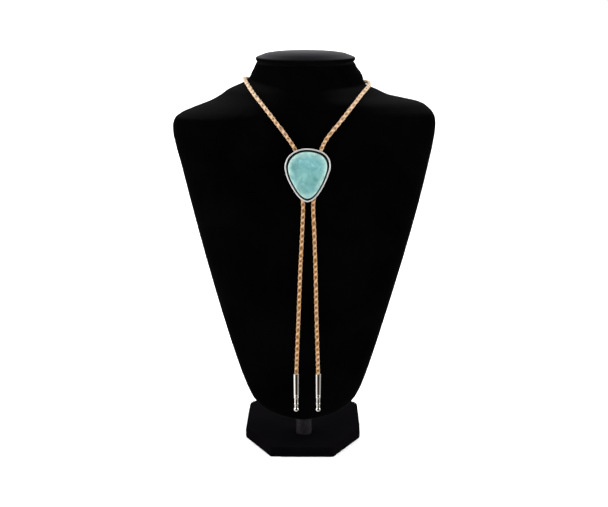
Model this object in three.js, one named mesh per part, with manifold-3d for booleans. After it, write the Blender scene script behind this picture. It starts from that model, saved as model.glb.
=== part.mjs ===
// A bolo tie on a plain display neck bust: a braided leather cord with a stone slide and metal tips.
// Millimetres, +Z up, the bust faces -Y. The origin is under the base plate, on the table.
import * as THREE from 'three';
import * as BufferGeometryUtils from 'three/addons/utils/BufferGeometryUtils.js';
import Module from 'manifold-3d';

const wasm = await Module();
wasm.setup();

// Fit between neighbouring pieces, and how far a cutting tool stands out of what it cuts
const pieceGap = 0.3;
const cutOvershoot = 1;

// Base plate
const plateWidth = 119.4;
const plateFront = 69.6;
const plateBack = 51.6;
const plateThickness = 10;
const plateNoseWidth = 62.6;
const plateSideFront = 23.5;
const plateCornerRadius = 10;
const plateShift = -1;
const plateTurn = THREE.MathUtils.degToRad(-0.8);

// Post, which stands in the plate's socket and goes up into the bust
const postDiameter = 16.4;
const postForward = 30;
const socketDepth = 5;
const postInBust = 30;

// Bust: a closed form that stands on the post
const footClearance = 25.8;
const bustHeight = 350.8;
const shoulderHalf = 130;
const chestReach = 84;
const backReach = 48;
const neckLean = THREE.MathUtils.degToRad(5.8);

// Neck cap
const capThickness = 4.5;
const capOverhang = 0.9;
const capEdgeRound = 2;
const capCrown = 4.4;
const capFullness = 6;

// Slide: its outline, then the layers from the chest outwards
const slideWidth = 42.2;
const slideHeight = 49.2;
const slideX = 3.1;
const slideZ = 285.3;
const slideTurn = THREE.MathUtils.degToRad(-2);
const plateEdgeInset = 0.6;
const backPlateThickness = 1.3;
const rimWidth = 1.8;
const rimHeight = 4.2;
const recessDepth = 2;
const bezelInset = 2.4;
const bezelWall = 0.45;
const bezelHeight = 3.1;
const stoneGirdle = 1.5;
const stoneDome = 3.6;

// Clasp behind the slide
const claspWidth = 30;
const claspHeight = 20;
const claspWall = 1;
const claspCornerRadius = 3;
const leftWayX = -7.18;
const leftWayLean = THREE.MathUtils.degToRad(9);
const rightWayX = 8.88;
const rightWayLean = THREE.MathUtils.degToRad(-5.6);

// Cord and tips
const cordDiameter = 4.2;
const tipBoreDepth = 12;
const tipBoreClearance = 0.25;
const tipMouthDiameter = 5.6;
const tipWaistDiameter = 5;
const tipSleeveLength = 21.5;
const tipNeckDiameter = 4.2;
const tipLowerNeckDiameter = 3.6;
const tipLowerRingDiameter = 4.4;
const tipBallDiameter = 5;
const tipRingLength = 3.4;
const tipLowerRingLength = 1.8;
const tipNeckLength = 4.8;
const tipLowerNeckLength = 3.2;
const tipGroove = 0.4;

// How finely the pieces are faceted
const bustSides = 44;
const bustRingsPerRow = 2;
const outlineSides = 60;
const domeSteps = 6;
const edgeSteps = 6;
const crownSteps = 5;
const ballSteps = 5;
const cornerSteps = 5;
const roundSides = 16;
const postSides = 28;
const cordSides = 8;
const cordSteps = 78;

const cordRadius = cordDiameter / 2;
const footHeight = plateThickness + footClearance;
const claspDepth = cordDiameter + 2 * (pieceGap + claspWall);

// The bust's sections from its lower edge to the neck. up is a share of bustHeight, left and right are
// shares of shoulderHalf, front of chestReach, back of backReach and lean of neckLean. blunt is the
// section's exponent: 2 is an ellipse, and more is squarer.
const bustRows = [
  { up: 0.000, left: 0.100, right: 0.100, front: 0.714, back: -0.340, lean: 0.00, blunt: 2.2 },
  { up: 0.011, left: 0.262, right: 0.258, front: 0.762, back: -0.290, lean: 0.00, blunt: 2.2 },
  { up: 0.037, left: 0.368, right: 0.367, front: 0.810, back: -0.240, lean: 0.00, blunt: 2.2 },
  { up: 0.089, left: 0.443, right: 0.447, front: 0.869, back: -0.175, lean: 0.00, blunt: 2.2 },
  { up: 0.180, left: 0.527, right: 0.529, front: 0.926, back: -0.080, lean: 0.00, blunt: 2.2 },
  { up: 0.309, left: 0.629, right: 0.632, front: 0.976, back: 0.085, lean: 0.00, blunt: 2.2 },
  { up: 0.466, left: 0.744, right: 0.754, front: 1.000, back: 0.290, lean: 0.00, blunt: 2.2 },
  { up: 0.609, left: 0.845, right: 0.860, front: 0.970, back: 0.500, lean: 0.00, blunt: 2.15 },
  { up: 0.724, left: 0.927, right: 0.939, front: 0.871, back: 0.690, lean: 0.00, blunt: 2.1 },
  { up: 0.804, left: 0.988, right: 0.988, front: 0.756, back: 0.825, lean: 0.00, blunt: 2.05 },
  { up: 0.850, left: 0.973, right: 0.991, front: 0.685, back: 0.896, lean: 0.00, blunt: 2.0 },
  { up: 0.875, left: 0.842, right: 0.942, front: 0.637, back: 0.938, lean: 0.02, blunt: 1.95 },
  { up: 0.892, left: 0.717, right: 0.862, front: 0.607, back: 0.963, lean: 0.05, blunt: 1.9 },
  { up: 0.908, left: 0.634, right: 0.650, front: 0.580, back: 0.975, lean: 0.12, blunt: 1.8 },
  { up: 0.924, left: 0.576, right: 0.553, front: 0.554, back: 0.965, lean: 0.25, blunt: 1.72 },
  { up: 0.937, left: 0.496, right: 0.466, front: 0.530, back: 0.945, lean: 0.40, blunt: 1.72 },
  { up: 0.950, left: 0.422, right: 0.450, front: 0.512, back: 0.935, lean: 0.55, blunt: 1.8 },
  { up: 0.967, left: 0.400, right: 0.436, front: 0.492, back: 0.940, lean: 0.52, blunt: 1.9 },
  { up: 0.984, left: 0.375, right: 0.398, front: 0.479, back: 0.942, lean: 0.46, blunt: 2.0 },
  { up: 1.000, left: 0.358, right: 0.381, front: 0.471, back: 0.929, lean: 0.42, blunt: 2.0 },
];

// The slide's outline, from its flat top to its round point. down is a share of slideHeight, left and
// right of half of slideWidth.
const slideRows = [
  { down: 0.000, left: 0.000, right: 0.000 },
  { down: 0.018, left: 0.340, right: 0.365 },
  { down: 0.074, left: 0.635, right: 0.710 },
  { down: 0.184, left: 0.890, right: 0.935 },
  { down: 0.331, left: 1.000, right: 1.000 },
  { down: 0.478, left: 0.950, right: 0.922 },
  { down: 0.625, left: 0.812, right: 0.797 },
  { down: 0.772, left: 0.607, right: 0.628 },
  { down: 0.882, left: 0.424, right: 0.461 },
  { down: 0.956, left: 0.229, right: 0.290 },
  { down: 1.000, left: -0.035, right: 0.035 },
];

// The cord's centre, from inside the left tip up its tail, round the neck and down to the right tip
const cordRoute = [
  [-7.4, -86.6, 83.8], [-7.3, -86.6, 96], [-5.3, -86.6, 150], [-3.4, -86.6, 200], [-1.7, -85.8, 235],
  [-0.9, -83.7, 260], [-2.3, -81.5, 272.5], [-4.1, -77.9, 286.1], [-5.8, -74.5, 299.3], [-8, -70.9, 309],
  [-14.9, -65.3, 319.3], [-25.6, -59.9, 332.8], [-36.6, -52, 346], [-47.6, -38.1, 358.1],
  [-54.2, -22, 365.9], [-57.6, -6.5, 369.4], [-58.8, 7, 369.4], [-53.6, 22.6, 368.6], [-36.8, 37, 367.8],
  [-17.4, 45.2, 366.6], [1.7, 47.9, 366.3], [20, 44, 366.6], [37.8, 35, 367.3], [54.4, 22.6, 366.4],
  [62.8, 7.5, 366.1], [62.9, -13, 364.1], [55.5, -35, 358.3], [44, -51.8, 346], [32.8, -59.3, 332.8],
  [21.3, -65, 319.2], [15.8, -70.7, 309.3], [13.9, -74.5, 299.3], [12, -78, 285.7], [10.1, -81.5, 272.2],
  [8.5, -83.7, 260], [9.5, -85.8, 235], [10.7, -86.6, 200], [11.9, -86.6, 150], [13.5, -86.6, 96],
  [13.7, -86.6, 83.8],
];

const velvet = new THREE.MeshStandardMaterial({ color: 0x0b0b0d, roughness: 0.95, metalness: 0 });
const leather = new THREE.MeshStandardMaterial({ color: 0xc79a63, roughness: 0.6, metalness: 0 });
const silver = new THREE.MeshStandardMaterial({ color: 0xcfcfcb, roughness: 0.28, metalness: 1 });
const chrome = new THREE.MeshStandardMaterial({ color: 0xdadada, roughness: 0.12, metalness: 1 });
const steel = new THREE.MeshStandardMaterial({ color: 0x9a9a98, roughness: 0.4, metalness: 1 });
const turquoise = new THREE.MeshStandardMaterial({ color: 0x82bcbd, roughness: 0.25, metalness: 0 });

// A catmull-rom curve's value at t between b and c
function curveValue(a, b, c, d, t) {
  const slopeB = (c - a) / 2;
  const slopeC = (d - b) / 2;
  const bend = 3 * (c - b) - 2 * slopeB - slopeC;
  const twist = slopeB + slopeC - 2 * (c - b);
  return b + t * (slopeB + t * (bend + t * twist));
}

// Six times the volume inside an indexed geometry, negative when its faces point in
function signedVolume(geometry) {
  const position = geometry.getAttribute('position');
  const index = geometry.getIndex();
  const corner = [new THREE.Vector3(), new THREE.Vector3(), new THREE.Vector3()];
  let total = 0;
  for (let i = 0; i < index.count; i += 3) {
    corner.forEach((point, k) => point.fromBufferAttribute(position, index.getX(i + k)));
    total += corner[0].dot(corner[1].cross(corner[2]));
  }
  return total;
}

// An indexed closed geometry that keeps only position and faces out
function closedBody(geometry) {
  const bare = geometry.clone();
  bare.deleteAttribute('normal');
  bare.deleteAttribute('uv');
  const merged = BufferGeometryUtils.mergeVertices(bare, 1e-4);
  if (signedVolume(merged) < 0) {
    const index = merged.getIndex();
    for (let i = 0; i < index.count; i += 3) {
      const first = index.getX(i);
      index.setX(i, index.getX(i + 1));
      index.setX(i + 1, first);
    }
  }
  return merged;
}

// A closed body through rings that have the same number of points, with a flat fan over each end
function loft(rings) {
  const count = rings[0].length;
  const points = rings.flat();
  const middles = [rings[0], rings[rings.length - 1]].map((ring) => {
    const middle = new THREE.Vector3();
    ring.forEach((point) => middle.add(point));
    return middle.divideScalar(count);
  });
  const faces = [];
  for (let r = 0; r + 1 < rings.length; r += 1) {
    for (let i = 0; i < count; i += 1) {
      const a = r * count + i;
      const b = r * count + ((i + 1) % count);
      faces.push(a, b, a + count, b, b + count, a + count);
    }
  }
  const lastRing = (rings.length - 1) * count;
  for (let i = 0; i < count; i += 1) {
    const next = (i + 1) % count;
    faces.push(points.length, next, i);
    faces.push(points.length + 1, lastRing + i, lastRing + next);
  }
  const geometry = new THREE.BufferGeometry().setFromPoints([...points, ...middles]);
  geometry.setIndex(faces);
  return closedBody(geometry);
}

function toSolid(geometry) {
  const body = closedBody(geometry);
  return new wasm.Manifold(new wasm.Mesh({
    numProp: 3,
    vertProperties: Float32Array.from(body.getAttribute('position').array),
    triVerts: Uint32Array.from(body.getIndex().array),
  }));
}

// The first geometry less all the others
function cut(geometry, ...tools) {
  const rest = tools.reduce((solid, tool) => solid.subtract(toSolid(tool)), toSolid(geometry));
  const mesh = rest.getMesh();
  const result = new THREE.BufferGeometry();
  result.setAttribute('position', new THREE.BufferAttribute(mesh.vertProperties, 3));
  result.setIndex(new THREE.BufferAttribute(mesh.triVerts, 1));
  return result;
}

// A named piece. Edges sharper than crease stay sharp when it is drawn.
function piece(name, geometry, material, crease = Math.PI / 5) {
  const mesh = new THREE.Mesh(BufferGeometryUtils.toCreasedNormals(geometry, crease), material);
  mesh.name = name;
  return mesh;
}

// A flat outline given a thickness upwards from zero
function slabOf(outline, depth) {
  return new THREE.ExtrudeGeometry(outline, { depth, bevelEnabled: false, curveSegments: cornerSteps });
}

// An upright round bar between two heights at the post's place
function postBar(radius, low, high) {
  const bar = new THREE.CylinderGeometry(radius, radius, high - low, postSides);
  bar.rotateX(Math.PI / 2);
  bar.translate(0, -postForward, (low + high) / 2);
  return bar;
}

// The plate: a short front edge, two slanted ones, straight sides and round back corners
function basePlate() {
  const side = plateWidth / 2;
  const r = plateCornerRadius;
  const outline = new THREE.Shape();
  outline.moveTo(-plateNoseWidth / 2, -plateFront);
  outline.lineTo(plateNoseWidth / 2, -plateFront);
  outline.lineTo(side, -plateSideFront);
  outline.lineTo(side, plateBack - r);
  outline.absarc(side - r, plateBack - r, r, 0, Math.PI / 2);
  outline.lineTo(r - side, plateBack);
  outline.absarc(r - side, plateBack - r, r, Math.PI / 2, Math.PI);
  outline.lineTo(-side, -plateSideFront);
  outline.closePath();
  const slab = slabOf(outline, plateThickness);
  slab.rotateZ(plateTurn);
  slab.translate(plateShift, 0, 0);
  const open = plateThickness + cutOvershoot;
  const socket = postBar(postDiameter / 2 + pieceGap, plateThickness - socketDepth, open);
  return piece('base_plate', cut(slab, socket), velvet);
}

function standPost() {
  const low = plateThickness - socketDepth + pieceGap;
  const high = footHeight + postInBust - pieceGap;
  return piece('stand_post', closedBody(postBar(postDiameter / 2, low, high)), velvet);
}

// The bust's section at a place that runs from 0, the lower edge, to the last row
function bustRow(place) {
  const last = bustRows.length - 1;
  const i = Math.min(Math.floor(place), last - 1);
  const pick = (k) => bustRows[THREE.MathUtils.clamp(k, 0, last)];
  const row = {};
  Object.keys(bustRows[0]).forEach((column) => {
    const values = [i - 1, i, i + 1, i + 2].map((k) => pick(k)[column]);
    row[column] = curveValue(...values, place - i);
  });
  return row;
}

// A section in millimetres, grown outwards by grow
function bustSection(row, grow = 0) {
  const front = -row.front * chestReach - grow;
  const back = row.back * backReach + grow;
  return {
    middle: (front + back) / 2,
    reach: (back - front) / 2,
    left: row.left * shoulderHalf + grow,
    right: row.right * shoulderHalf + grow,
    height: footHeight + row.up * bustHeight,
    slope: Math.tan(row.lean * neckLean),
    blunt: row.blunt,
  };
}

function bustRing(row, grow = 0, lift = 0) {
  const section = bustSection(row, grow);
  const power = 2 / section.blunt;
  return Array.from({ length: bustSides }, (_, i) => {
    const angle = (2 * Math.PI * i) / bustSides;
    const c = Math.cos(angle);
    const s = Math.sin(angle);
    const half = c < 0 ? section.left : section.right;
    const x = Math.sign(c) * half * Math.abs(c) ** power;
    const along = Math.sign(s) * section.reach * Math.abs(s) ** power;
    return new THREE.Vector3(x, section.middle + along, section.height + along * section.slope + lift);
  });
}

function bustForm() {
  const steps = (bustRows.length - 1) * bustRingsPerRow;
  const rings = Array.from({ length: steps + 1 }, (_, i) => bustRing(bustRow(i / bustRingsPerRow)));
  const open = footHeight - cutOvershoot;
  const bore = postBar(postDiameter / 2 + pieceGap, open, footHeight + postInBust);
  return piece('bust_form', cut(loft(rings), bore), velvet);
}

// The padded lid on the neck, with a round edge and a low crown
function neckCap() {
  const top = bustRow(bustRows.length - 1);
  const rings = [];
  for (let i = 0; i <= edgeSteps; i += 1) {
    const turn = Math.PI * (i / edgeSteps - 0.5);
    const grow = capOverhang - capEdgeRound * (1 - Math.cos(turn));
    rings.push(bustRing(top, grow, pieceGap + (capThickness / 2) * (1 + Math.sin(turn))));
  }
  const rim = rings[rings.length - 1];
  const middle = rim.reduce((sum, point) => sum.add(point), new THREE.Vector3()).divideScalar(rim.length);
  for (let i = 1; i <= crownSteps; i += 1) {
    const share = 1 - i / (crownSteps + 1);
    const lift = new THREE.Vector3(0, 0, capCrown * (1 - share ** capFullness));
    rings.push(rim.map((point) => point.clone().lerp(middle, 1 - share).add(lift)));
  }
  return piece('neck_cap', loft(rings), velvet);
}

// The chest's front surface at a width and a height
function chestY(x, z) {
  let low = 0;
  let high = bustRows.length - 1;
  while (high - low > 1e-6) {
    const middle = (low + high) / 2;
    if (bustSection(bustRow(middle)).height < z) low = middle;
    else high = middle;
  }
  const section = bustSection(bustRow(low));
  const share = Math.abs(x) / (x < 0 ? section.left : section.right);
  return section.middle - section.reach * (1 - share ** section.blunt) ** (1 / section.blunt);
}

// The slide's outline moved in by inset, at a height over the back plate's rear face
function slideRing(inset, height) {
  const corner = (share, down) => new THREE.Vector3(
    share * (slideWidth / 2),
    (0.5 - down) * slideHeight,
    0,
  );
  const right = slideRows.map((row) => corner(row.right, row.down));
  const left = slideRows.slice(1, -1).reverse().map((row) => corner(-row.left, row.down));
  const curve = new THREE.CatmullRomCurve3([...right, ...left], true, 'centripetal');
  return Array.from({ length: outlineSides }, (_, i) => {
    const point = curve.getPointAt(i / outlineSides);
    const along = curve.getTangentAt(i / outlineSides);
    return new THREE.Vector3(point.x + along.y * inset, point.y - along.x * inset, height);
  });
}

// Back plate, round rim, sunk ring and low bezel, soldered into one body
function setting() {
  const rings = [slideRing(plateEdgeInset, 0), slideRing(plateEdgeInset, backPlateThickness)];
  const rimRadius = rimWidth / 2;
  for (let i = 0; i <= edgeSteps; i += 1) {
    const turn = Math.PI * (i / edgeSteps);
    const inset = rimRadius * (1 - Math.cos(turn));
    rings.push(slideRing(inset, rimHeight - rimRadius * (1 - Math.sin(turn))));
  }
  const recess = rimHeight - recessDepth;
  rings.push(slideRing(rimWidth, recess), slideRing(bezelInset, recess));
  rings.push(slideRing(bezelInset, bezelHeight), slideRing(bezelInset + bezelWall, bezelHeight));
  rings.push(slideRing(bezelInset + bezelWall, backPlateThickness));
  return piece('setting', loft(rings), silver);
}

// A cabochon: an upright girdle inside the bezel, then a low dome
function stone() {
  const foot = backPlateThickness + pieceGap;
  const girdle = slideRing(bezelInset + bezelWall + pieceGap, foot);
  const rings = [girdle];
  for (let i = 0; i < domeSteps; i += 1) {
    const turn = (Math.PI / 2) * (i / domeSteps);
    const shrink = Math.cos(turn);
    const height = foot + stoneGirdle + stoneDome * Math.sin(turn);
    rings.push(girdle.map((point) => new THREE.Vector3(point.x * shrink, point.y * shrink, height)));
  }
  return piece('stone', loft(rings), turquoise, Math.PI / 3);
}

// The cord as a plain tube along its route
function cord() {
  const route = new THREE.CatmullRomCurve3(cordRoute.map((point) => new THREE.Vector3(...point)));
  const corners = Array.from({ length: cordSides }, (_, i) => {
    const angle = (2 * Math.PI * (i + 0.5)) / cordSides;
    return new THREE.Vector2(cordRadius * Math.cos(angle), cordRadius * Math.sin(angle));
  });
  const tube = new THREE.ExtrudeGeometry(new THREE.Shape(corners), { steps: cordSteps, extrudePath: route });
  return piece('cord', closedBody(tube), leather, Math.PI / 3);
}

// The straight way through the clasp for one run of the cord
function claspWay(x, lean) {
  const radius = cordRadius + pieceGap;
  const way = new THREE.CylinderGeometry(radius, radius, 2 * claspHeight, roundSides);
  way.rotateZ(lean);
  way.translate(x, 0, -pieceGap - claspDepth / 2);
  return way;
}

// A plain clip behind the slide that both runs of the cord pass through
function slideClasp() {
  const halfWidth = claspWidth / 2;
  const halfHeight = claspHeight / 2;
  const r = claspCornerRadius;
  const outline = new THREE.Shape();
  outline.moveTo(r - halfWidth, -halfHeight);
  outline.lineTo(halfWidth - r, -halfHeight);
  outline.absarc(halfWidth - r, r - halfHeight, r, -Math.PI / 2, 0);
  outline.lineTo(halfWidth, halfHeight - r);
  outline.absarc(halfWidth - r, halfHeight - r, r, 0, Math.PI / 2);
  outline.lineTo(r - halfWidth, halfHeight);
  outline.absarc(r - halfWidth, halfHeight - r, r, Math.PI / 2, Math.PI);
  outline.lineTo(-halfWidth, r - halfHeight);
  outline.absarc(r - halfWidth, r - halfHeight, r, Math.PI, 1.5 * Math.PI);
  const block = slabOf(outline, claspDepth);
  block.translate(0, 0, -claspDepth - pieceGap);
  const ways = [claspWay(leftWayX, leftWayLean), claspWay(rightWayX, rightWayLean)];
  return piece('slide_clasp', cut(block, ...ways), steel);
}

// The slide's pieces in their own frame, which leans with the chest
function slideGroup() {
  const slide = new THREE.Group();
  const span = claspHeight / 2;
  const lean = Math.atan2(chestY(slideX, slideZ + span) - chestY(slideX, slideZ - span), 2 * span);
  slide.position.set(slideX, chestY(slideX, slideZ), slideZ);
  slide.rotateX(Math.PI / 2 - lean);
  slide.rotateZ(slideTurn);
  slide.translateZ(claspDepth + 2 * pieceGap);
  slide.add(setting(), stone(), slideClasp());
  return slide;
}

// A turned metal tip whose sleeve takes the cord's end. Its profile runs from the ball up to the bore.
function cordTip(name, end) {
  const boreRadius = cordRadius + tipBoreClearance;
  const profile = [];
  const add = (diameter, height) => profile.push(new THREE.Vector2(diameter / 2, height));
  const neckAngle = Math.PI - Math.asin(tipLowerNeckDiameter / tipBallDiameter);
  for (let i = 0; i <= ballSteps; i += 1) {
    const angle = neckAngle * (i / ballSteps);
    const height = (tipBallDiameter / 2) * (1 - Math.cos(angle));
    add(tipBallDiameter * Math.sin(angle), height);
  }
  const ballTop = profile[profile.length - 1].y;
  const lowerRing = ballTop + tipLowerNeckLength;
  const upperNeck = lowerRing + tipLowerRingLength;
  const ring = upperNeck + tipNeckLength;
  const sleeve = ring + tipRingLength;
  const mouth = sleeve + tipSleeveLength;
  add(tipLowerNeckDiameter, lowerRing);
  add(tipLowerRingDiameter, lowerRing + tipGroove);
  add(tipLowerRingDiameter, upperNeck - tipGroove);
  add(tipNeckDiameter, upperNeck);
  add(tipNeckDiameter, ring);
  add(tipWaistDiameter, ring + tipGroove);
  add(tipWaistDiameter, sleeve - tipGroove);
  add(tipWaistDiameter - tipGroove, sleeve);
  add(tipWaistDiameter, sleeve + tipGroove);
  add(tipMouthDiameter, mouth);
  add(2 * boreRadius, mouth);
  add(2 * boreRadius, mouth - tipBoreDepth);
  add(0, mouth - tipBoreDepth);
  const turned = new THREE.LatheGeometry(profile, roundSides);
  turned.rotateX(Math.PI / 2);
  turned.translate(end.x, end.y, end.z - pieceGap - (mouth - tipBoreDepth));
  return piece(name, closedBody(turned), chrome);
}

const bolo = new THREE.Group();
bolo.add(basePlate(), standPost(), bustForm(), neckCap(), slideGroup(), cord());
bolo.add(cordTip('tip_left', new THREE.Vector3(...cordRoute[0])));
bolo.add(cordTip('tip_right', new THREE.Vector3(...cordRoute[cordRoute.length - 1])));

export default bolo;
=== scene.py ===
"""A bolo tie on a display neck bust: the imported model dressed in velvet, braided leather, silver and
turquoise. Metres, +Z up, the bust faces -Y. Azimuth 0 is the photograph's side."""

import math

import bmesh
import bpy
import numpy as np
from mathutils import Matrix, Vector


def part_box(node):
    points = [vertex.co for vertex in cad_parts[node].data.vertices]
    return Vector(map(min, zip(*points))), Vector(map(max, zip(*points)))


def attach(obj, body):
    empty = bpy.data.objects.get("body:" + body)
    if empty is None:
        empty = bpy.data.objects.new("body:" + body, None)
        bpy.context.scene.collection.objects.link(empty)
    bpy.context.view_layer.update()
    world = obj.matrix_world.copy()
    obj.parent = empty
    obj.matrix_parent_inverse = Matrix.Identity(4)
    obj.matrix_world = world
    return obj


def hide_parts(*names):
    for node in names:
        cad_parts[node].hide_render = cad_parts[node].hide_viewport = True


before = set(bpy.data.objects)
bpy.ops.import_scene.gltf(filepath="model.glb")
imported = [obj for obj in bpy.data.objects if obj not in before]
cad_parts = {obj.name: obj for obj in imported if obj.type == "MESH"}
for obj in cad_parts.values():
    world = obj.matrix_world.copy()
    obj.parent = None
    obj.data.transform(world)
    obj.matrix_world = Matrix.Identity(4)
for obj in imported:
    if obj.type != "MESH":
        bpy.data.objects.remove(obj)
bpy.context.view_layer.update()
rng = np.random.default_rng(7)

MM = 0.001

# Camera: level with the neck, tilted down, at the photograph's field of view
CAMERA_PLACE = (0.0, -0.95, 0.43)
CAMERA_PITCH = math.radians(14)
FOCAL_PIXELS = 955
PHOTO_WIDTH = 608
SENSOR_WIDTH = 36
CLIP_END = 200

# Cord: four laces, two wound each way, that pass over and under each other round a core that is darkened
# with painted shade
LAY = 11.6 * MM
LACE_WIDTH = 2.5 * MM
LACE_THICKNESS = 1.05 * MM
LACE_ORBIT = 1.12 * MM
LACE_SQUEEZE = 0.07 * MM
LACE_WEAVE = 0.22 * MM
LACE_CROWN = 0.1 * MM
LACE_LINGER = 0.26
LACE_ROUNDNESS = 0.8
CORE_RADIUS = 1.0 * MM
RINGS_PER_LAY = 24
LACE_SIDES = 10
CORE_SIDES = 10
ROUTE_SAMPLES = 800

# How unevenly the cord is braided: the size of each drift, and how many waves it has along the cord
LAY_DRIFT = 0.9
LAY_WAVES = (17, 29, 43)
TWIST_DRIFT = 0.3
TWIST_WAVES = (11, 23, 37)
LACE_WAVES = (31, 67, 113)
LACE_STRAY = 0.06
LACE_SWELL = 0.05

# The leather's shade, a painted shade from 0 in the depth to 1 on the crowns, and how the leather grows
# paler between two heights in metres, from the slide up to the neck
SHADE_START = 1.0 * MM
SHADE_SPAN = 1.25 * MM
EDGE_SHADE = 0.45
CORE_SHADE = 0.45
FADE_SPAN = (0.3, 0.37)
FADE_SHARE = 0.36
FADE_COLOUR = (0.84, 0.68, 0.5)

# The cord's centre in millimetres, from inside the left tip up its tail, round the neck and down to the
# right tip
CORD_ROUTE = [
    [-7.4, -86.6, 83.8], [-7.3, -86.6, 96], [-5.3, -86.6, 150], [-3.4, -86.6, 200], [-1.7, -85.8, 235],
    [-0.9, -83.7, 260], [-2.3, -81.5, 272.5], [-4.1, -77.9, 286.1], [-5.8, -74.5, 299.3], [-8, -70.9, 309],
    [-14.9, -65.3, 319.3], [-25.6, -59.9, 332.8], [-36.6, -52, 346], [-47.6, -38.1, 358.1],
    [-54.2, -22, 365.9], [-57.6, -6.5, 369.4], [-58.8, 7, 369.4], [-53.6, 22.6, 368.6], [-36.8, 37, 367.8],
    [-17.4, 45.2, 366.6], [1.7, 47.9, 366.3], [20, 44, 366.6], [37.8, 35, 367.3], [54.4, 22.6, 366.4],
    [62.8, 7.5, 366.1], [62.9, -13, 364.1], [55.5, -35, 358.3], [44, -51.8, 346], [32.8, -59.3, 332.8],
    [21.3, -65, 319.2], [15.8, -70.7, 309.3], [13.9, -74.5, 299.3], [12, -78, 285.7], [10.1, -81.5, 272.2],
    [8.5, -83.7, 260], [9.5, -85.8, 235], [10.7, -86.6, 200], [11.9, -86.6, 150], [13.5, -86.6, 96],
    [13.7, -86.6, 83.8],
]

# Slide: its outline from top to bottom as shares of its height and of half its width to the left and to the
# right, then its turn on the chest and its layers
SLIDE_ROWS = [
    (0.000, 0.000, 0.000), (0.018, 0.340, 0.365), (0.074, 0.635, 0.710), (0.184, 0.890, 0.935),
    (0.331, 1.000, 1.000), (0.478, 0.950, 0.922), (0.625, 0.812, 0.797), (0.772, 0.607, 0.628),
    (0.882, 0.424, 0.461), (0.956, 0.229, 0.290), (1.000, -0.035, 0.035),
]
SLIDE_TURN = math.radians(-2)
OUTLINE_POINTS = 240
PLATE_INSET = 0.5 * MM
PLATE_THICKNESS = 1.3 * MM
PLATE_INNER_RING = 10 * MM
SEAT_EDGE = (0.3 * MM, 2.5 * MM)
RIM_RADIUS = 0.68 * MM
RIM_HEIGHT = 3.15 * MM
RIM_POINTS = 1080
RIM_SIDES = 18
ROPE_LAY = 2.5 * MM
ROPE_STRANDS = 2
ROPE_GROOVE = 0.16
ROPE_ROUNDNESS = 0.6
RECESS_LIP = (1.35 * MM, 2.7 * MM)
RECESS_INSET = 1.45 * MM
RECESS_HEIGHT = 2.2 * MM
BEZEL_INSET = 2.4 * MM
BEZEL_WALL = 0.45 * MM
BEZEL_HEIGHT = 3.1 * MM
SETTING_SOFTENING = 0.12 * MM
STONE_INSET = 3.15 * MM
STONE_FOOT = 1.6 * MM
STONE_GIRDLE = 1.5 * MM
STONE_DOME = 3.6 * MM
STONE_UNDERCUT = 0.985
STONE_BEVEL = 0.15 * MM
STONE_FULLNESS = 0.94
STONE_PEAK = 0.004
STONE_RINGS = 40
CLASP_EASE = 0.4 * MM
CLASP_EASE_STEPS = 3
CLASP_SHARP = math.radians(35)

# Where the setting's black is worn off, and the painted reflection that pales the stone from its dome to its
# edge, by its share of the girdle's outline
WEAR_MARGIN = 0.05 * MM
BEZEL_WEAR = 0.12
SIDE_SLACK = 0.01 * MM
SIDE_BAND = 0.15 * MM
SIDE_WEAR = 0.8
EDGE_REFLECTION_GAIN = 3.2
EDGE_REFLECTION_LOSS = 2.2
EDGE_REFLECTION_CURVE = 1.3

# Tip: radius and height over the ball's lowest point, from the ball's neck up to the sleeve's mouth
TIP_BALL_RADIUS = 2.5 * MM
TIP_NECK_RADIUS = 1.8 * MM
TIP_PROFILE = [
    (1.8, 7.3), (2.2, 7.6), (2.2, 8.9), (2.0, 9.2), (2.0, 13.9), (2.45, 14.2), (2.5, 15.5), (2.2, 15.7),
    (2.5, 15.9), (2.45, 17.0), (2.2, 17.3), (2.5, 17.6), (2.62, 26), (2.78, 36.7), (2.7, 37.0), (2.8, 37.4),
    (2.8, 38.98), (2.35, 38.98), (2.35, 27.0),
]
TIP_SOFTENING = 0.3 * MM
TIP_POLE = 0.02
TIP_CENTRE = 0.02 * MM
TIP_BALL_STEPS = 28
TURNED_SIDES = 64
POST_SOFTENING = 0.8 * MM
POST_CENTRE = 0.1 * MM

# Velvet pieces: how finely they are remeshed, and how often their edges relax by a step in and a step out
BUST_VOXEL = 2.4 * MM
BUST_RELAX = 6
LID_VOXEL = 0.9 * MM
LID_RELAX = 5
PLATE_VOXEL = 0.9 * MM
PLATE_RELAX = 2
RELAX_IN = 0.5
RELAX_OUT = -0.53
RELAX_REPEATS = 2

# Velvet colours: the dark and light patches of each piece, then the front and rear colours of the painted
# sheen where it faces up. The painted sheen's span is the stretch of Y, in metres, over which the front
# colour gives way to the rear one.
BUST_BLACK = ((0.0004, 0.0004, 0.00045), (0.001, 0.001, 0.0011))
LID_BLACK = ((0.0007, 0.0007, 0.0008), (0.0016, 0.0016, 0.0018))
STAND_BLACK = ((0.0012, 0.001, 0.0014), (0.002, 0.0017, 0.0023))
LID_PAINTED_SHEEN = ((0.006, 0.006, 0.007), (0.1, 0.1, 0.108))
SHOULDER_PAINTED_SHEEN = ((0.005, 0.005, 0.0053), (0.005, 0.005, 0.0053))
PAINTED_SHEEN_FACING = (0.5, 0.95)
PAINTED_SHEEN_SPAN = (-0.038, 0.04)

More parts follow.
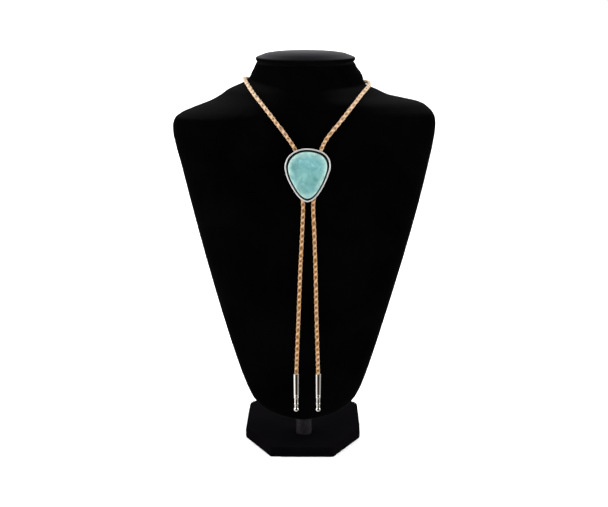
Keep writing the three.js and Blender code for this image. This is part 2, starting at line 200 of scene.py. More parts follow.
# Studio: white to the camera. The light comes from all round but a tall dark patch in front, and reflections
# see a dimmer right side.
FLOOR_SIZE = 60
WORLD_SEEN = 1.1
SOFT_LIGHT = 2.7
SOFT_DARK = 0.05
REFLECTED_LEFT = 1.25
REFLECTED_RIGHT = 0.42
REFLECTED_SPAN = (-0.6, 0.6)
REFLECTED_DARK = 0.03
DARK_TINT = (1.0, 0.7, 0.45)
DARK_AZIMUTH = math.radians(2)
DARK_HALF_WIDTH = (math.radians(44), math.radians(52))
DARK_BOTTOM = (math.radians(-52), math.radians(-44))
DARK_TOP = (math.radians(56), math.radians(66))
SOFTBOXES = [
    ("key", (-1.1, -0.4, 0.6), (0.5, 1.0), 5),
    ("fill", (1.1, -0.35, 0.5), (0.5, 0.9), 5),
]
LIGHT_TARGET = (0, 0, 0.25)

# Meshes and shader nodes
SPLINE_STEPS = 60
CORNER_LIMIT = 0.45
SHARP_ANGLE = math.radians(40)
NOISE_ROUGHNESS = 0.55
MIX_COLOUR_INPUTS = (0, 6, 7)
MIX_COLOUR_OUTPUT = 2
MIX_VALUE_INPUTS = (0, 2, 3)


def spline(points, count, closed=False):
    """Points evenly spaced along a centripetal Catmull-Rom curve."""
    given = np.array(points, float)
    if closed:
        given = np.vstack([given[-1:], given, given[:2]])
    else:
        given = np.vstack([2 * given[0] - given[1], given, 2 * given[-1] - given[-2]])
    share = np.linspace(0, 1, SPLINE_STEPS, endpoint=False)[:, None]
    fine = []
    for a, b, c, d in zip(given, given[1:], given[2:], given[3:]):
        before, between, after = (np.sqrt(np.linalg.norm(q - p)) for p, q in ((a, b), (b, c), (c, d)))
        start = ((b - a) / before - (c - a) / (before + between) + (c - b) / between) * between
        end = ((c - b) / between - (d - b) / (between + after) + (d - c) / after) * between
        bend = 3 * (c - b) - 2 * start - end
        twist = start + end - 2 * (c - b)
        fine.append(b + share * (start + share * (bend + share * twist)))
    fine = np.vstack(fine + [given[1:2] if closed else given[-2:-1]])
    lengths = np.concatenate([[0], np.cumsum(np.linalg.norm(np.diff(fine, axis=0), axis=1))])
    places = np.linspace(0, lengths[-1], count, endpoint=not closed)
    return np.stack([np.interp(places, lengths, fine[:, k]) for k in range(fine.shape[1])], axis=1)


def unit(vectors):
    """The vectors at length one."""
    return vectors / np.linalg.norm(vectors, axis=-1, keepdims=True)


def soften(points, reach, steps=4):
    """An open outline with each inner corner rounded off within reach of it."""
    given = np.array(points, float)
    out = [given[0]]
    for before, corner, after in zip(given, given[1:], given[2:]):
        back, ahead = before - corner, after - corner
        start = corner + back * min(CORNER_LIMIT, reach / np.linalg.norm(back))
        end = corner + ahead * min(CORNER_LIMIT, reach / np.linalg.norm(ahead))
        for share in np.linspace(0, 1, steps + 1):
            out.append((1 - share) ** 2 * start + 2 * share * (1 - share) * corner + share**2 * end)
    out.append(given[-1])
    return np.array(out)


def surface(name, rings, loop=False, values=None):
    """A closed mesh through rings of points. loop joins the last ring to the first, and otherwise a face
    closes each end. values, one for each point, go into the attribute "shade"."""
    rings = np.asarray(rings)
    count, around = rings.shape[:2]
    row, side = np.meshgrid(np.arange(count if loop else count - 1), np.arange(around), indexing="ij")
    next_row, next_side = (row + 1) % count, (side + 1) % around
    corners = [(row, side), (row, next_side), (next_row, next_side), (next_row, side)]
    faces = np.stack([ring * around + place for ring, place in corners], axis=-1).reshape(-1, 4).tolist()
    if not loop:
        faces.append(list(range(around))[::-1])
        faces.append(list(range((count - 1) * around, count * around)))
    mesh = bpy.data.meshes.new(name)
    mesh.from_pydata(rings.reshape(-1, 3).tolist(), [], faces)
    if values is not None:
        shade = mesh.attributes.new("shade", "FLOAT", "POINT")
        shade.data.foreach_set("value", np.asarray(values, np.float32).reshape(-1))
    return place_mesh(name, mesh)


def linked(name, data):
    """A new object in the scene."""
    made = bpy.data.objects.new(name, data)
    bpy.context.scene.collection.objects.link(made)
    return made


def place_mesh(name, mesh):
    """An object for a closed mesh, facing out, smooth but for its sharp edges."""
    shape = bmesh.new()
    shape.from_mesh(mesh)
    bmesh.ops.recalc_face_normals(shape, faces=shape.faces)
    shape.to_mesh(mesh)
    shape.free()
    mesh.shade_smooth()
    mesh.set_sharp_from_angle(angle=SHARP_ANGLE)
    return linked(name, mesh)


def lathe(name, profile, axis, sides):
    """A turned body round an upright axis, from (radius, height) points."""
    angle = np.linspace(0, 2 * math.pi, sides, endpoint=False)
    radius, height = np.array(profile).T
    x = axis[0] + radius[:, None] * np.cos(angle)
    y = axis[1] + radius[:, None] * np.sin(angle)
    z = np.broadcast_to(axis[2] + height[:, None], x.shape)
    return surface(name, np.stack([x, y, z], axis=-1))


def applied(piece):
    """The piece with its modifiers made part of its mesh."""
    graph = bpy.context.evaluated_depsgraph_get()
    mesh = bpy.data.meshes.new_from_object(piece.evaluated_get(graph))
    piece.modifiers.clear()
    piece.data = mesh
    return piece


def copy_of(name, node):
    """A new object with a copy of a CAD node's mesh."""
    piece = linked(name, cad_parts[node].data.copy())
    piece.data.materials.clear()
    return piece


def padded_copy(name, node, voxel, relax):
    """A copy of a CAD node in a fine even mesh, with its edges relaxed as under stretched cloth. The steps
    in and out keep its size."""
    piece = copy_of(name, node)
    remesh = piece.modifiers.new("remesh", "REMESH")
    remesh.mode = "VOXEL"
    remesh.voxel_size = voxel
    for _ in range(relax):
        for factor in (RELAX_IN, RELAX_OUT):
            smooth = piece.modifiers.new("relax", "SMOOTH")
            smooth.factor = factor
            smooth.iterations = RELAX_REPEATS
    applied(piece)
    piece.data.shade_smooth()
    return piece


def dress(piece, material, slot, *nodes):
    """The piece with its material and body, in place of the CAD nodes that it stands for. Its slot is not
    used.
    """
    piece.data.materials.clear()
    piece.data.materials.append(material)
    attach(piece, "root")
    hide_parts(*nodes)
    return piece


def node(tree, kind, inputs=(), **properties):
    """A shader node. inputs gives each socket a value, or the output that feeds it."""
    made = tree.nodes.new("ShaderNode" + kind)
    for key, value in properties.items():
        setattr(made, key, value)
    for key, value in dict(inputs).items():
        if isinstance(value, bpy.types.NodeSocket):
            tree.links.new(value, made.inputs[key])
        else:
            made.inputs[key].default_value = value
    return made


def new_material(name, **constants):
    """A material with its tree and shader. Each constant is set on the shader's own socket."""
    material = bpy.data.materials.new(name)
    material.use_nodes = True
    tree = material.node_tree
    shader = tree.nodes["Principled BSDF"]
    for key, value in constants.items():
        shader.inputs[key.replace("_", " ")].default_value = value
    return material, tree, shader


def place_of(tree):
    """The place on the object in metres, which is the same in every view."""
    return node(tree, "TexCoord").outputs["Object"]


def shade_of(tree):
    """The shade that each point of a mesh was given."""
    return node(tree, "Attribute", attribute_name="shade").outputs["Fac"]


def component(tree, vector, axis):
    """One axis of a vector, as a number."""
    return node(tree, "SeparateXYZ", {"Vector": vector}).outputs[axis]


def noise(tree, place, scale, detail=3.0, distortion=0.0):
    """Cloudy noise from 0 to 1."""
    inputs = {"Vector": place, "Scale": scale, "Detail": detail, "Distortion": distortion}
    return node(tree, "TexNoise", {**inputs, "Roughness": NOISE_ROUGHNESS}).outputs["Fac"]


def stretched_noise(tree, stretch, scale):
    """Noise on a place that is scaled by a factor along each axis, which gives lines."""
    place = node(tree, "Mapping", {"Vector": place_of(tree), "Scale": stretch}).outputs["Vector"]
    return noise(tree, place, scale, detail=3)


def ramp(tree, value, *stops):
    """A colour ramp through (place, colour) stops."""
    made = node(tree, "ValToRGB", {"Fac": value})
    elements = made.color_ramp.elements
    for index, (where, colour) in enumerate(stops):
        stop = elements[index] if index < len(elements) else elements.new(where)
        stop.position = where
        stop.color = (*colour, 1)
    return made.outputs["Color"]


def spread(tree, value, low, high, start=0.0, end=1.0):
    """A value carried from start..end to low..high."""
    inputs = {"Value": value, "From Min": start, "From Max": end, "To Min": low, "To Max": high}
    return node(tree, "MapRange", inputs).outputs["Result"]


def mixed(tree, share, first, second, blend="MIX"):
    """A colour mixed from two, each a colour or an output."""
    made = node(tree, "Mix", data_type="RGBA", blend_type=blend)
    for index, value in zip(MIX_COLOUR_INPUTS, (share, first, second)):
        if isinstance(value, bpy.types.NodeSocket):
            tree.links.new(value, made.inputs[index])
        else:
            made.inputs[index].default_value = (*value, 1) if isinstance(value, tuple) else value
    return made.outputs[MIX_COLOUR_OUTPUT]


def mixed_value(tree, share, first, second):
    """A number mixed from two, each a number or an output."""
    return node(tree, "Mix", dict(zip(MIX_VALUE_INPUTS, (share, first, second)))).outputs[0]


def product(tree, first, second, clamp=False):
    """Two numbers or outputs multiplied."""
    return node(tree, "Math", {0: first, 1: second}, operation="MULTIPLY", use_clamp=clamp).outputs[0]


def bump(tree, height, strength, distance):
    """A normal that is tilted by a height of up to a distance."""
    inputs = {"Height": height, "Strength": strength, "Distance": distance}
    return node(tree, "Bump", inputs).outputs["Normal"]


def feed(tree, shader, colour, roughness, normal):
    """Links a shader's colour, roughness and normal."""
    for socket, output in (("Base Color", colour), ("Roughness", roughness), ("Normal", normal)):
        tree.links.new(output, shader.inputs[socket])


def with_painted_sheen(tree, place, colour, front, rear):
    """The colour with painted sheen where the surface faces up, going from a front to a rear colour."""
    upward = component(tree, node(tree, "NewGeometry").outputs["Normal"], "Z")
    rearward = spread(tree, component(tree, place, "Y"), 0.0, 1.0, *PAINTED_SHEEN_SPAN)
    # painted sheen: a paler colour on up-facing surfaces, from the front colour to the rear one
    pale = ramp(tree, rearward, (0.0, front), (1.0, rear))
    return mixed(tree, spread(tree, upward, 0.0, 1.0, *PAINTED_SHEEN_FACING), colour, pale)


def velvet(name, dark, light, crest=None):
    """Black velvet: a short nap, brushed into soft patches. Where it faces up it gets a painted sheen, from
    the sheen's first colour at the front to its second at the back."""
    constants = {"Specular_IOR_Level": 0.0, "Sheen_Weight": 0.012, "Sheen_Roughness": 0.3}
    material, tree, shader = new_material(name, **constants)
    place = place_of(tree)
    patches = noise(tree, place, 16, detail=4, distortion=0.6)
    colour = ramp(tree, patches, (0.35, dark), (0.7, light))
    # the crest colours are a painted sheen on the up-facing parts
    if crest:
        colour = with_painted_sheen(tree, place, colour, *crest)
    nap = bump(tree, noise(tree, place, 1500, detail=2), 0.5, 0.25 * MM)
    feed(tree, shader, colour, spread(tree, patches, 0.98, 0.8), nap)
    return material


def leather():
    """Golden tan lace leather with painted shade: dark where the laces dive, full colour on their crowns,
    paler towards the neck, with a fine grain."""
    sheen = {"Sheen_Weight": 0.8, "Sheen_Roughness": 0.25, "Sheen_Tint": (1.0, 0.92, 0.84, 1.0)}
    material, tree, shader = new_material("leather", Specular_IOR_Level=0.5, **sheen)
    place = place_of(tree)
    # painted shade: the colour darkens with each point's shade from its depth in the braid
    tan = ramp(
        tree, shade_of(tree),
        (0.0, (0.06, 0.02, 0.004)), (0.35, (0.22, 0.095, 0.018)),
        (0.68, (0.42, 0.235, 0.095)), (1.0, (0.8, 0.56, 0.35)),
    )
    warmth = noise(tree, place, 45, detail=2)
    rosy = ramp(tree, warmth, (0.35, (1.0, 0.94, 0.82)), (0.65, (1.0, 1.0, 1.12)))
    mottle = spread(tree, noise(tree, place, 700, detail=3), 0.86, 1.1)
    grey = node(tree, "CombineXYZ", {"X": mottle, "Y": mottle, "Z": mottle}).outputs[0]
    tinted = mixed(tree, 1.0, mixed(tree, 1.0, tan, rosy, "MULTIPLY"), grey, "MULTIPLY")
    fade = spread(tree, component(tree, place, "Z"), 0.0, FADE_SHARE, *FADE_SPAN)
    colour = mixed(tree, fade, tinted, FADE_COLOUR)
    grain = noise(tree, place, 2600, detail=3)
    feed(tree, shader, colour, spread(tree, grain, 0.34, 0.5), bump(tree, grain, 0.35, 0.06 * MM))
    return material


def bright_silver():
    """Worn silver, tarnished in the grooves of the rope."""
    material, tree, shader = new_material("bright_silver", Metallic=0.6)
    place = place_of(tree)
    tarnish, grey, bright = (0.12, 0.125, 0.125), (0.55, 0.55, 0.54), (0.74, 0.73, 0.72)
    colour = ramp(tree, shade_of(tree), (0.0, tarnish), (0.35, grey), (0.7, bright))
    roughness = spread(tree, noise(tree, place, 900), 0.34, 0.5)
    feed(tree, shader, colour, roughness, bump(tree, noise(tree, place, 3000), 0.15, 0.03 * MM))
    return material


def dark_silver():
    """Silver, near black in the sunk ring and bezel, worn a little on the bezel's edge and the plate's rear.
    """
    material, tree, shader = new_material("dark_silver", Metallic=0.85)
    patina = noise(tree, place_of(tree), 600, detail=4)
    black = ramp(tree, patina, (0.3, (0.003, 0.007, 0.006)), (0.75, (0.012, 0.02, 0.018)))
    worn = ramp(tree, patina, (0.3, (0.35, 0.36, 0.35)), (0.75, (0.6, 0.6, 0.58)))
    colour = mixed(tree, shade_of(tree), black, worn)
    feed(tree, shader, colour, spread(tree, patina, 0.3, 0.55), bump(tree, patina, 0.2, 0.04 * MM))
    return material


def chrome():
    """Bright plate with hairline polishing marks round it."""
    material, tree, shader = new_material("chrome", Metallic=1.0)
    lines = stretched_noise(tree, (1, 1, 14), 500)
    colour = ramp(tree, lines, (0.3, (0.8, 0.77, 0.72)), (0.7, (0.92, 0.89, 0.84)))
    feed(tree, shader, colour, spread(tree, lines, 0.05, 0.14), bump(tree, lines, 0.06, 0.02 * MM))
    return material


def nickel():
    """Plain brushed nickel."""
    material, tree, shader = new_material("nickel", Metallic=1.0)
    lines = stretched_noise(tree, (0.08, 1, 1), 1800)
    colour = ramp(tree, lines, (0.3, (0.36, 0.35, 0.33)), (0.7, (0.52, 0.51, 0.48)))
    feed(tree, shader, colour, spread(tree, lines, 0.28, 0.45), bump(tree, lines, 0.2, 0.03 * MM))
    return material


def stone_colour(tree, place, clouds):
    """Cloudy blue green, paler in patches towards the stone's edge with a painted reflection, and a little
    warmer or cooler from place to place."""
    body = ramp(
        tree, clouds,
        (0.3, (0.09, 0.235, 0.24)), (0.48, (0.13, 0.305, 0.305)),
        (0.62, (0.165, 0.36, 0.365)), (0.75, (0.235, 0.44, 0.43)),
    )
    uneven = spread(tree, noise(tree, place, 260, detail=4), 0.25, 1.3, 0.35, 0.65)
    # painted reflection: the stone pales in patches near its edge
    patchy_reflection = product(tree, shade_of(tree), uneven, clamp=True)
    body = mixed(tree, spread(tree, patchy_reflection, 0.0, 0.8), body, (0.36, 0.53, 0.47))
    tint = noise(tree, place, 75, detail=3)
    hue = ramp(tree, tint, (0.38, (1.03, 1.0, 0.96)), (0.62, (0.99, 1.0, 1.03)))
    return mixed(tree, 1.0, body, hue, "MULTIPLY")


def stone_veins(tree, place):
    """Thin broken lines along the edges of warped cells."""
    warp = node(tree, "TexNoise", {"Vector": place, "Scale": 160.0, "Detail": 3.0}).outputs["Color"]
    shift = node(tree, "VectorMath", {0: warp, "Scale": 5 * MM}, operation="SCALE").outputs["Vector"]
    bent = node(tree, "VectorMath", {0: place, 1: shift}, operation="ADD").outputs["Vector"]
    cells = node(tree, "TexVoronoi", {"Vector": bent, "Scale": 130.0}, feature="DISTANCE_TO_EDGE")
    thin = spread(tree, cells.outputs["Distance"], 1.0, 0.0, 0.0, 0.09)
    broken = spread(tree, noise(tree, place, 140, detail=3), 0.0, 1.0, 0.42, 0.62)
    return product(tree, thin, broken)


def turquoise():
    """Polished turquoise: cloudy blue green, faint grey veins, and a painted reflection paling its edge."""
    coat = {"Coat_Weight": 0.35, "Coat_Roughness": 0.06}
    material, tree, shader = new_material("turquoise", Specular_IOR_Level=0.55, **coat)
    place = place_of(tree)
    clouds = noise(tree, place, 95, detail=4, distortion=0.8)
    veins = stone_veins(tree, place)
    share = product(tree, veins, 0.6, clamp=True)
    colour = mixed(tree, share, stone_colour(tree, place, clouds), (0.09, 0.2, 0.2))
    feed(tree, shader, colour, spread(tree, clouds, 0.16, 0.3), bump(tree, veins, 0.12, -0.04 * MM))
    return material


def gloss_black():
    """Black lacquer on the post, with a light orange peel."""
    material, tree, shader = new_material("gloss_black", Specular_IOR_Level=0.8)
    peel = noise(tree, place_of(tree), 400, detail=2)
    colour = ramp(tree, peel, (0.3, (0.014, 0.0125, 0.015)), (0.7, (0.024, 0.022, 0.026)))
    feed(tree, shader, colour, spread(tree, peel, 0.12, 0.2), bump(tree, peel, 0.1, 0.05 * MM))
    return material


def add_camera():
    """The camera, on the photograph's side."""
    data = bpy.data.cameras.new("camera")
    data.sensor_width = SENSOR_WIDTH
    data.lens = SENSOR_WIDTH * FOCAL_PIXELS / PHOTO_WIDTH
    data.clip_end = CLIP_END
    camera = linked("camera", data)
    camera.location = CAMERA_PLACE
    camera.rotation_euler = (math.pi / 2 - CAMERA_PITCH, 0, 0)
    bpy.context.scene.camera = camera


def cord_frames(count):
    """The cord's centre, and at each point the directions out of the chest and across it, free of twist."""
    centre = spline(np.array(CORD_ROUTE) * MM, count)
    along = unit(np.gradient(centre, axis=0))
    out = np.zeros_like(centre)
    previous = np.array([0.0, -1.0, 0.0])
    for index, tangent in enumerate(along):
        previous = unit(previous - tangent * (previous @ tangent))
        out[index] = previous
    return centre, out, np.cross(along, out)


def drift(count, waves):
    """A slow uneven drift between -1 and 1 along the cord."""
    share = np.linspace(0, 1, count)
    return sum(np.sin(2 * math.pi * (wave * share + rng.random())) for wave in waves) / len(waves)


def rounded(wave):
    """A sine or cosine made a little squarer, for a lace's section."""
    return np.sign(wave) * np.abs(wave) ** LACE_ROUNDNESS


def lace(centre, out, across, steady, twist, turn, phase):
    """One lace's rings and the shade of each point. turn is 1 or -1, the way that it winds. A lace crosses
    the front quickly and lingers at the sides."""
    wander = drift(len(centre), LACE_WAVES)
    angle = turn * (steady + LACE_LINGER * np.sin(2 * steady)) + phase + twist + LACE_STRAY * wander
    orbit = LACE_ORBIT + LACE_SQUEEZE * np.cos(2 * steady) + turn * LACE_WEAVE * np.cos(2 * steady)
    radial = np.cos(angle)[:, None] * out + np.sin(angle)[:, None] * across
    middle = centre + orbit[:, None] * radial
    forward = unit(np.gradient(middle, axis=0))
    thick = unit(radial - forward * np.sum(radial * forward, axis=1, keepdims=True))
    wide = np.cross(forward, thick)
    section = np.linspace(0, 2 * math.pi, LACE_SIDES, endpoint=False) + math.pi / LACE_SIDES
    width = LACE_WIDTH / 2 * (1 + LACE_SWELL * wander[:, None])
    sideways = rounded(np.cos(section)) * width
    crown = LACE_CROWN * (1 - 2 * (sideways / width) ** 2)
    upwards = rounded(np.sin(section)) * LACE_THICKNESS / 2 + crown
    rings = middle[:, None] + sideways[..., None] * wide[:, None] + upwards[..., None] * thick[:, None]
    # painted shade: the deeper a point lies in the braid, the lower its shade and the darker its colour
    depth = np.linalg.norm(rings - centre[:, None], axis=-1)
    lift = np.clip((depth - SHADE_START) / SHADE_SPAN, 0, 1)
    edge = 1 - EDGE_SHADE * np.abs(sideways / width) ** 3
    return rings, lift * edge


def core(centre, out, across):
    """The laces' inner sides, as a thin core that shows between them, darkened with painted shade."""
    angle = np.linspace(0, 2 * math.pi, CORE_SIDES, endpoint=False)
    radial = np.cos(angle)[:, None] * out[:, None] + np.sin(angle)[:, None] * across[:, None]
    rings = centre[:, None] + CORE_RADIUS * radial
    return rings, np.full(rings.shape[:2], CORE_SHADE)


def braided_cord():
    """The braid as one object, with its centre line and its length."""
    route = spline(np.array(CORD_ROUTE) * MM, ROUTE_SAMPLES)
    length = np.sum(np.linalg.norm(np.diff(route, axis=0), axis=1))
    count = round(length / LAY * RINGS_PER_LAY)
    centre, out, across = cord_frames(count)
    steady = 2 * math.pi * np.linspace(0, length, count) / LAY + LAY_DRIFT * drift(count, LAY_WAVES)
    twist = TWIST_DRIFT * drift(count, TWIST_WAVES)
    windings = [(turn, phase) for turn in (1, -1) for phase in (0, math.pi)]
    parts = [lace(centre, out, across, steady, twist, turn, phase) for turn, phase in windings]
    parts.append(core(centre, out, across))
    laces = [surface(f"lace_{index}", rings, values=shade) for index, (rings, shade) in enumerate(parts)]
    cord = joined("braided_cord", laces)
    dress(cord, leather(), "cord", "cord")
    return cord, centre, length


def joined(name, pieces):
    """One object made of several."""
    shape = bmesh.new()
    for piece in pieces:
        shape.from_mesh(piece.data)
    mesh = bpy.data.meshes.new(name)
    shape.to_mesh(mesh)
    shape.free()
    for piece in pieces:
        bpy.data.objects.remove(piece)
    return linked(name, mesh)


def foot_of(low, high):
    """The middle of a box's foot."""
    return ((low.x + high.x) / 2, (low.y + high.y) / 2, low.z)


def cord_tip(side, material):
    """The turned tip on the cord's left or right end: a ball, ringed necks and a long sleeve."""
    low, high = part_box(f"tip_{side}")
    neck_angle = math.pi - math.asin(TIP_NECK_RADIUS / TIP_BALL_RADIUS)
    ball = [
        (TIP_BALL_RADIUS * math.sin(angle), TIP_BALL_RADIUS * (1 - math.cos(angle)))
        for angle in np.linspace(TIP_POLE, neck_angle, TIP_BALL_STEPS)
    ]
    corners = [ball[-1], *[(radius * MM, height * MM) for radius, height in TIP_PROFILE]]
    turned = soften(corners, TIP_SOFTENING)
    profile = np.vstack([ball[:-1], turned, [(TIP_CENTRE, turned[-1][1])]])
    tip = lathe(f"turned_tip_{side}", profile, foot_of(low, high), TURNED_SIDES)
    return dress(tip, material, "tips", f"tip_{side}")


class Slide:
    """The slide's own axes, found from the setting's flat rear face: x across, y up its outline and z
    outwards."""

    def __init__(self):
        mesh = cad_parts["setting"].data
        flat = max(mesh.polygons, key=lambda face: face.area)
        outward = unit(-np.sign(flat.normal.y) * np.array(flat.normal))
        level = np.array([1.0, 0.0, 0.0])
        rise = np.cross(outward, level)
        across = math.cos(SLIDE_TURN) * level + math.sin(SLIDE_TURN) * rise
        self.axes = np.array([across, np.cross(outward, across), outward])
        local = np.array([vertex.co for vertex in mesh.vertices]) @ self.axes.T
        low, high = local.min(axis=0), local.max(axis=0)
        self.origin = np.array([(low[0] + high[0]) / 2, (low[1] + high[1]) / 2, low[2]]) @ self.axes
        self.half_width = (high[0] - low[0]) / 2
        self.height = high[1] - low[1]

    def outline(self, count):
        """The outline's points and the directions out of it, in the slide's own plane."""
        right = [(share, 0.5 - down) for down, _, share in SLIDE_ROWS]
        left = [(-share, 0.5 - down) for down, share, _ in SLIDE_ROWS[-2:0:-1]]
        points = spline(np.array(right + left) * [self.half_width, self.height], count, closed=True)
        along = unit(np.roll(points, -1, axis=0) - np.roll(points, 1, axis=0))
        return points, np.stack([-along[:, 1], along[:, 0]], axis=1)

    def inset(self, depth):
        """The outline moved in by a depth. Inside the rim it tapers towards the middle, so that its end
        stays round."""
        points, outward = self.outline(OUTLINE_POINTS)
        if depth < BEZEL_INSET:
            return points - outward * depth
        return points * (1 - depth / np.array([self.half_width, self.height / 2]))

    def world(self, points):
        """Points carried from the slide's axes to the world."""
        return self.origin + np.asarray(points) @ self.axes

    def ring(self, flat, height):
        """Points of the slide's plane, raised by a height and carried to the world."""
        return self.world(np.column_stack([flat, np.full(len(flat), height)]))


def setting_wear(inset, height):
    """How far the black is worn off: wholly on the rear and the rim's seat, much on the plate's side, and a
    little on the bezel's top."""
    worn = np.where((inset < PLATE_INSET) | (height < WEAR_MARGIN), 1.0, 0.0)
    worn = np.where((height > BEZEL_HEIGHT - WEAR_MARGIN) & (inset > RECESS_INSET), BEZEL_WEAR, worn)
    side = (inset >= PLATE_INSET - SIDE_SLACK) & (inset < PLATE_INSET + SIDE_BAND)
    return np.where(side, SIDE_WEAR, worn)


def setting_back(slide):
    """Back plate, the rim's seat, the sunk ring and the bezel, as one body."""
    bezel_inner = BEZEL_INSET + BEZEL_WALL
    corners = [
        (PLATE_INSET, 0), (PLATE_INSET, PLATE_THICKNESS), SEAT_EDGE, (RIM_RADIUS, RIM_HEIGHT), RECESS_LIP,
        (RECESS_INSET, RECESS_HEIGHT), (BEZEL_INSET, RECESS_HEIGHT), (BEZEL_INSET, BEZEL_HEIGHT),
        (bezel_inner, BEZEL_HEIGHT), (bezel_inner, PLATE_THICKNESS),
    ]
    profile = soften(corners, SETTING_SOFTENING, steps=3)
    profile = np.vstack([[(PLATE_INNER_RING, 0)], profile, [(PLATE_INNER_RING, PLATE_THICKNESS)]])
    rings = [slide.ring(slide.inset(inset), height) for inset, height in profile]
    values = np.repeat(setting_wear(*profile.T)[:, None], OUTLINE_POINTS, axis=1)
    back = surface("setting_back", rings, values=values)
    return dress(back, dark_silver(), "setting", "setting")


def setting_rim(slide):
    """The twisted rope round the setting."""
    points, outward = slide.outline(RIM_POINTS)
    middle = points - outward * RIM_RADIUS
    length = np.sum(np.linalg.norm(middle - np.roll(middle, 1, axis=0), axis=1))
    turns = round(length / ROPE_LAY)
    twist = 2 * math.pi * turns * np.arange(RIM_POINTS) / RIM_POINTS
    angle = np.linspace(0, 2 * math.pi, RIM_SIDES, endpoint=False)
    crest = np.abs(np.cos(ROPE_STRANDS * (angle[None] - twist[:, None]) / 2)) ** ROPE_ROUNDNESS
    radius = RIM_RADIUS * (1 - ROPE_GROOVE * (1 - crest))
    flat = middle[:, None] + outward[:, None] * (radius * np.cos(angle))[..., None]
    height = RIM_HEIGHT + radius * np.sin(angle)
    rings = slide.world(np.concatenate([flat, height[..., None]], axis=-1))
    rim = surface("setting_rim", rings, loop=True, values=crest)
    return dress(rim, bright_silver(), "setting", "setting")


def cabochon(slide):
    """The stone: an upright girdle inside the bezel and a low dome over it."""
    girdle = slide.inset(STONE_INSET)
    profile = [(STONE_UNDERCUT, 0.0, 1.0), (1.0, STONE_BEVEL, 1.0)]
    for turn in np.linspace(0, math.pi / 2, STONE_RINGS, endpoint=False):
        shrink = math.cos(turn) ** STONE_FULLNESS
        # painted reflection: the stone is paler near the girdle
        pale = max(0.0, shrink * EDGE_REFLECTION_GAIN - EDGE_REFLECTION_LOSS) ** EDGE_REFLECTION_CURVE
        profile.append((shrink, STONE_GIRDLE + STONE_DOME * math.sin(turn), pale))
    profile.append((STONE_PEAK, STONE_GIRDLE + STONE_DOME, 0.0))
    rings = [slide.ring(girdle * shrink, STONE_FOOT + height) for shrink, height, _ in profile]
    values = np.repeat(np.array([pale for _, _, pale in profile])[:, None], OUTLINE_POINTS, axis=1)
    stone = surface("cabochon", rings, values=values)
    return dress(stone, turquoise(), "stone", "stone")


def spring_clasp():
    """The plain clip behind the slide, with its edges eased."""
    clasp = copy_of("spring_clasp", "slide_clasp")
    ease = clasp.modifiers.new("ease", "BEVEL")
    ease.width = CLASP_EASE
    ease.segments = CLASP_EASE_STEPS
    ease.limit_method = "ANGLE"
    applied(clasp)
    clasp.data.shade_smooth()
    clasp.data.set_sharp_from_angle(angle=CLASP_SHARP)
    return dress(clasp, nickel(), "clasp", "slide_clasp")


def velvet_piece(name, cad_node, slot, material, voxel, relax):
    """A CAD node covered in velvet."""
    return dress(padded_copy(name, cad_node, voxel, relax), material, slot, cad_node)


def turned_post():
    """The round post under the bust, with its edges softened."""
    low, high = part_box("stand_post")
    radius = (high.x - low.x) / 2
    height = high.z - low.z
    corners = [(POST_CENTRE, 0), (radius, 0), (radius, height), (POST_CENTRE, height)]
    post = lathe("turned_post", soften(corners, POST_SOFTENING, steps=5), foot_of(low, high), TURNED_SIDES)
    return dress(post, gloss_black(), "stand", "stand_post")


def eased(tree, value, limits, low=0.0, high=1.0):
    """A value carried smoothly from low to high between two limits."""
    inputs = {"Value": value, "From Min": limits[0], "From Max": limits[1], "To Min": low, "To Max": high}
    return node(tree, "MapRange", inputs, interpolation_type="SMOOTHSTEP").outputs["Result"]


def dark_patch(tree, direction):
    """One inside the tall dark patch in front, nought outside it."""
    level = node(tree, "VectorMath", {0: direction, 1: (1, 1, 0)}, operation="MULTIPLY").outputs["Vector"]
    level = node(tree, "VectorMath", {0: level}, operation="NORMALIZE").outputs["Vector"]
    ahead = (math.sin(DARK_AZIMUTH), -math.cos(DARK_AZIMUTH), 0)
    facing = node(tree, "VectorMath", {0: level, 1: ahead}, operation="DOT_PRODUCT").outputs["Value"]
    height = component(tree, direction, "Z")
    inner, outer = DARK_HALF_WIDTH
    wide = eased(tree, facing, (math.cos(outer), math.cos(inner)))
    over = eased(tree, height, [math.sin(angle) for angle in DARK_BOTTOM])
    under = eased(tree, height, [math.sin(angle) for angle in DARK_TOP], 1.0, 0.0)
    return product(tree, wide, product(tree, over, under))


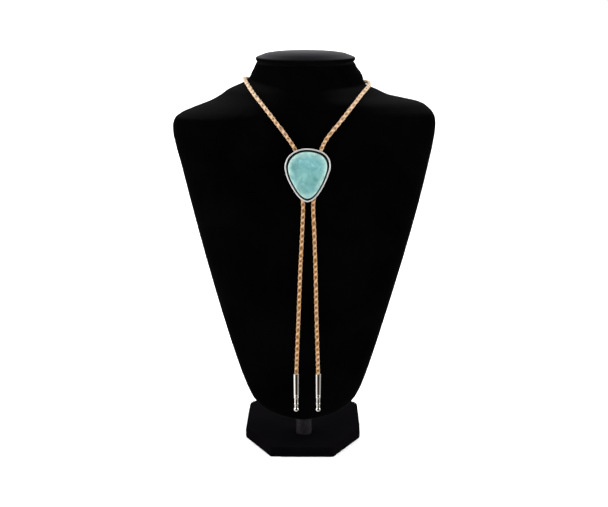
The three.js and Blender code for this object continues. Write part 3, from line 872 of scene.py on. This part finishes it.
def studio_world():
    """White behind the object, and soft light from all round it but a dark patch in front, whose reflection
    is warm."""
    world = bpy.data.worlds.new("studio")
    world.use_nodes = True
    bpy.context.scene.world = world
    tree = world.node_tree
    background = tree.nodes["Background"]
    direction = node(tree, "TexCoord").outputs["Generated"]
    sides = spread(tree, component(tree, direction, "X"), REFLECTED_LEFT, REFLECTED_RIGHT, *REFLECTED_SPAN)
    patch = dark_patch(tree, direction)
    reflected = mixed_value(tree, patch, sides, REFLECTED_DARK)
    soft = mixed_value(tree, patch, SOFT_LIGHT, SOFT_DARK)
    ray = node(tree, "LightPath")
    light = mixed_value(tree, ray.outputs["Is Glossy Ray"], soft, reflected)
    strength = mixed_value(tree, ray.outputs["Is Camera Ray"], light, WORLD_SEEN)
    tree.links.new(strength, background.inputs["Strength"])
    warmth = product(tree, patch, ray.outputs["Is Glossy Ray"])
    tree.links.new(mixed(tree, warmth, (1, 1, 1), DARK_TINT), background.inputs["Color"])


def softbox(name, place, size, power):
    """A soft rectangular light that faces the bust."""
    data = bpy.data.lights.new(name, "AREA")
    data.shape = "RECTANGLE"
    data.size, data.size_y = size
    data.energy = power
    light = linked(name, data)
    light.location = place
    light.rotation_euler = (Vector(LIGHT_TARGET) - Vector(place)).to_track_quat("-Z", "Y").to_euler()


def pale_floor():
    """The plain pale surface that the base plate stands on."""
    material, tree, shader = new_material("floor_paper", Roughness=0.9, Specular_IOR_Level=0.1)
    fibre = noise(tree, place_of(tree), 60, detail=4)
    colour = ramp(tree, fibre, (0.3, (0.9, 0.9, 0.9)), (0.7, (0.93, 0.93, 0.93)))
    tree.links.new(colour, shader.inputs["Base Color"])
    half = FLOOR_SIZE / 2
    corners = [(-half, -half, 0), (half, -half, 0), (half, half, 0), (-half, half, 0)]
    mesh = bpy.data.meshes.new("floor")
    mesh.from_pydata(corners, [], [(0, 1, 2, 3)])
    mesh.materials.append(material)
    floor = linked("floor", mesh)
    floor.visible_glossy = False


add_camera()
cord, cord_centre, cord_length = braided_cord()
polished = chrome()
tips = [cord_tip(side, polished) for side in ("left", "right")]

slide = Slide()
setting_back(slide)
setting_rim(slide)
cabochon(slide)
spring_clasp()

# The bust and the lid get a painted sheen where they face up
bust_velvet = velvet("bust_velvet", *BUST_BLACK, SHOULDER_PAINTED_SHEEN)
lid_velvet = velvet("lid_velvet", *LID_BLACK, LID_PAINTED_SHEEN)
stand_velvet = velvet("stand_velvet", *STAND_BLACK)
velvet_piece("velvet_bust", "bust_form", "bust", bust_velvet, BUST_VOXEL, BUST_RELAX)
velvet_piece("velvet_lid", "neck_cap", "bust", lid_velvet, LID_VOXEL, LID_RELAX)
velvet_piece("velvet_plate", "base_plate", "stand", stand_velvet, PLATE_VOXEL, PLATE_RELAX)
turned_post()

bpy.context.scene.view_settings.view_transform = "Standard"
studio_world()
for box in SOFTBOXES:
    softbox(*box)
pale_floor()
